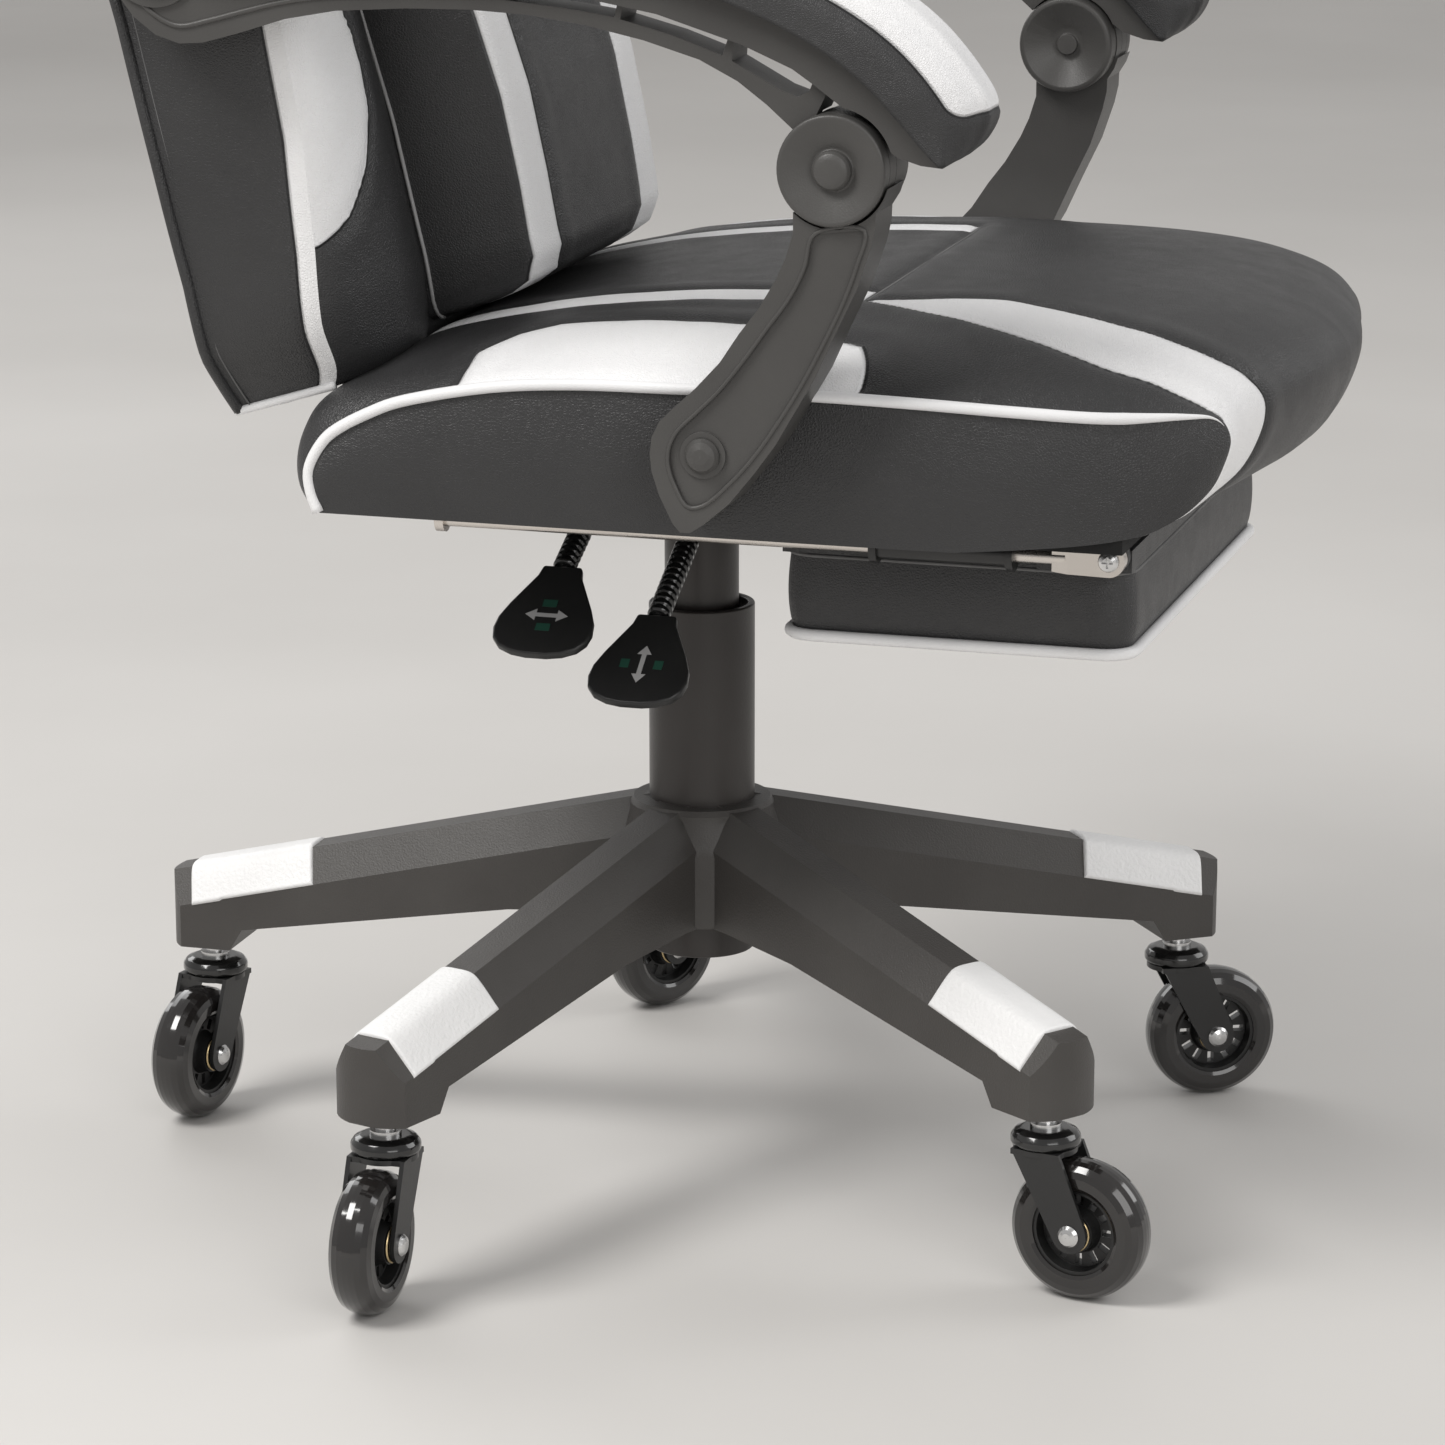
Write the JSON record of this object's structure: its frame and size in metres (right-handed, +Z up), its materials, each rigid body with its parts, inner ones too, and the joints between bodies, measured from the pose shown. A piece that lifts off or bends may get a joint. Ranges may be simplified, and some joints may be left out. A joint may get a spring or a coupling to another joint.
{
  "type": "gaming chair",
  "caption": "Swivel gaming chair on a star base with casters, gas column, side levers, padded seat, reclining back with linked armrests and a slide-out footrest.",
  "frame": {"origin": "on the floor, on the axis of the gas column", "axes": "+Z up along the gas column, the chair faces -Y, the sitter's right hand is at -X"},
  "size_m": [0.6546, 0.7881, 1.2895],
  "materials": {
    "nylon_dark": "fine grained moulded nylon",
    "nylon_white": "white grained moulded plastic",
    "column_paint": "satin dark powder coat",
    "bush_plastic": "black plastic",
    "steel_bright": "zinc plated steel",
    "rail_nickel": "nickel plated rod",
    "black_gloss": "black gloss",
    "black_steel": "black powder coat",
    "hub_black": "black nylon",
    "tyre_smoke": "smoky polyurethane",
    "leather_black": "fine pebble grain",
    "leather_white": "smooth white",
    "board_ply": "plywood",
    "arm_plastic": "dark grey moulded plastic",
    "arm_pad_soft": "soft grained polyurethane",
    "elastic_black": "elastic band"
  },
  "bodies": {
    "base": {"star_base": "nylon_dark", "base_tip_caps": "nylon_white", "column_outer_tube": "column_paint", "column_guide_bush": "bush_plastic", "piston_rod": "steel_bright", "caster_stems": "steel_bright", "caster_cups": "black_gloss"},
    "caster_1": {"caster_fork_1": "black_steel", "caster_axle_1": "steel_bright"},
    "wheel_1": {"wheel_hub_1": "hub_black", "tyre_1": "tyre_smoke"},
    "caster_2": {"caster_fork_2": "black_steel", "caster_axle_2": "steel_bright"},
    "wheel_2": {"wheel_hub_2": "hub_black", "tyre_2": "tyre_smoke"},
    "caster_3": {"caster_fork_3": "black_steel", "caster_axle_3": "steel_bright"},
    "wheel_3": {"wheel_hub_3": "hub_black", "tyre_3": "tyre_smoke"},
    "caster_4": {"caster_fork_4": "black_steel", "caster_axle_4": "steel_bright"},
    "wheel_4": {"wheel_hub_4": "hub_black", "tyre_4": "tyre_smoke"},
    "caster_5": {"caster_fork_5": "black_steel", "caster_axle_5": "steel_bright"},
    "wheel_5": {"wheel_hub_5": "hub_black", "tyre_5": "tyre_smoke"},
    "column": {"column_inner_tube": "column_paint"},
    "seat": {"seat_cushion": "leather_black", "seat_board": "board_ply", "mechanism_plate": "black_steel", "mechanism_housing": "black_steel", "seat_fasteners": "black_steel", "footrest_guides": "black_steel", "recline_pin": "steel_bright"},
    "lift_lever": {"lift_lever_rod": "steel_bright", "lift_lever_sleeve": "black_gloss", "lift_lever_paddle": "hub_black"},
    "lock_lever": {"lock_lever_rod": "steel_bright", "lock_lever_sleeve": "black_gloss", "lock_lever_paddle": "hub_black"},
    "footrest_carriage": {"footrest_rods": "rail_nickel"},
    "footrest": {"footrest_screws": "steel_bright", "footrest_board": "leather_black", "footrest_pad": "leather_black"},
    "backrest": {"back_bracket": "black_steel", "back_board": "leather_black", "back_centre_pad": "leather_black", "back_bolsters": "leather_black", "head_pillow": "leather_black", "head_pillow_strap": "elastic_black", "arm_pivot_plates": "black_steel"},
    "upright_r": {"upright_right": "arm_plastic"},
    "upright_l": {"upright_left": "arm_plastic"},
    "armrest_r": {"arm_frame_right": "arm_plastic", "arm_pad_right": "arm_pad_soft", "pivot_caps_right": "arm_plastic"},
    "armrest_l": {"arm_frame_left": "arm_plastic", "arm_pad_left": "arm_pad_soft", "pivot_caps_left": "arm_plastic"}
  },
  "joints": [
    {"name": "caster_swivel_1", "type": "hinge", "parent": "base", "child": "caster_1", "pos_m": [-0.28612, 0.09021, 0.09], "axis": [0, 0, 1], "continuous": true},
    {"name": "wheel_spin_1", "type": "hinge", "parent": "caster_1", "child": "wheel_1", "pos_m": [-0.3081, 0.09098, 0.039], "axis": [-0.0349, -0.9994, 0], "continuous": true},
    {"name": "caster_swivel_2", "type": "hinge", "parent": "base", "child": "caster_2", "pos_m": [-0.17421, -0.24423, 0.09], "axis": [0, 0, 1], "continuous": true},
    {"name": "wheel_spin_2", "type": "hinge", "parent": "caster_2", "child": "wheel_2", "pos_m": [-0.17878, -0.26575, 0.039], "axis": [0.9781, -0.2079, 0], "continuous": true},
    {"name": "caster_swivel_3", "type": "hinge", "parent": "base", "child": "caster_3", "pos_m": [0.17845, -0.24116, 0.09], "axis": [0, 0, 1], "continuous": true},
    {"name": "wheel_spin_3", "type": "hinge", "parent": "caster_3", "child": "wheel_3", "pos_m": [0.18911, -0.2604, 0.039], "axis": [0.8746, 0.4848, 0], "continuous": true},
    {"name": "caster_swivel_4", "type": "hinge", "parent": "base", "child": "caster_4", "pos_m": [0.2845, 0.09519, 0.09], "axis": [0, 0, 1], "continuous": true},
    {"name": "wheel_spin_4", "type": "hinge", "parent": "caster_4", "child": "wheel_4", "pos_m": [0.26584, 0.10685, 0.039], "axis": [-0.5299, -0.848, 0], "continuous": true},
    {"name": "caster_swivel_5", "type": "hinge", "parent": "base", "child": "caster_5", "pos_m": [-0.00262, 0.29999, 0.09], "axis": [0, 0, 1], "continuous": true},
    {"name": "wheel_spin_5", "type": "hinge", "parent": "caster_5", "child": "wheel_5", "pos_m": [-0.02428, 0.30381, 0.039], "axis": [-0.1736, -0.9848, 0], "continuous": true},
    {"name": "column_lift", "type": "slide", "parent": "base", "child": "column", "axis": [0, 0, 1], "range_m": [-0.04, 0.055]},
    {"name": "seat_swivel", "type": "hinge", "parent": "column", "child": "seat", "pos_m": [0, 0, 0.39], "axis": [0, 0, 1], "continuous": true},
    {"name": "back_recline", "type": "hinge", "parent": "seat", "child": "backrest", "pos_m": [0, 0.12, 0.4], "axis": [-1, 0, 0], "range_deg": [0, 45]},
    {"name": "upright_r_link", "type": "hinge", "parent": "seat", "child": "upright_r", "pos_m": [0, -0.084, 0.468], "axis": [-1, 0, 0], "range_deg": [-1, 71.5]},
    {"name": "armrest_r_link", "type": "hinge", "parent": "upright_r", "child": "armrest_r", "pos_m": [0, -0.151, 0.615], "axis": [-1, 0, 0], "range_deg": [-52, 1]},
    {"name": "upright_l_link", "type": "hinge", "parent": "seat", "child": "upright_l", "pos_m": [0, -0.084, 0.468], "axis": [-1, 0, 0], "range_deg": [-1, 71.5]},
    {"name": "armrest_l_link", "type": "hinge", "parent": "upright_l", "child": "armrest_l", "pos_m": [0, -0.151, 0.615], "axis": [-1, 0, 0], "range_deg": [-52, 1]},
    {"name": "lift_lever_pull", "type": "hinge", "parent": "seat", "child": "lift_lever", "pos_m": [-0.04, -0.01, 0.3834], "axis": [0, 1, 0], "range_deg": [0, 6], "stiffness_Nm_per_rad": 6, "springref_deg": -2.86},
    {"name": "lock_lever_pull", "type": "hinge", "parent": "seat", "child": "lock_lever", "pos_m": [-0.04, 0.043, 0.4034], "axis": [0, 1, 0], "range_deg": [0, 6], "stiffness_Nm_per_rad": 6, "springref_deg": -2.86},
    {"name": "footrest_slide", "type": "slide", "parent": "seat", "child": "footrest_carriage", "axis": [0, -1, 0], "range_m": [0, 0.235]},
    {"name": "footrest_flip", "type": "hinge", "parent": "footrest_carriage", "child": "footrest", "pos_m": [0, -0.274, 0.405], "axis": [-1, 0, 0], "range_deg": [0, 180]}
  ],
  "couplings": [
    {"joint": "upright_r_link", "follows": "back_recline", "ratio": 1.58},
    {"joint": "armrest_r_link", "follows": "back_recline", "ratio": -1.15},
    {"joint": "upright_l_link", "follows": "back_recline", "ratio": 1.58},
    {"joint": "armrest_l_link", "follows": "back_recline", "ratio": -1.15},
    {"joint": "footrest_flip", "follows": "footrest_slide", "rad_per_m": 13.368}
  ]
}
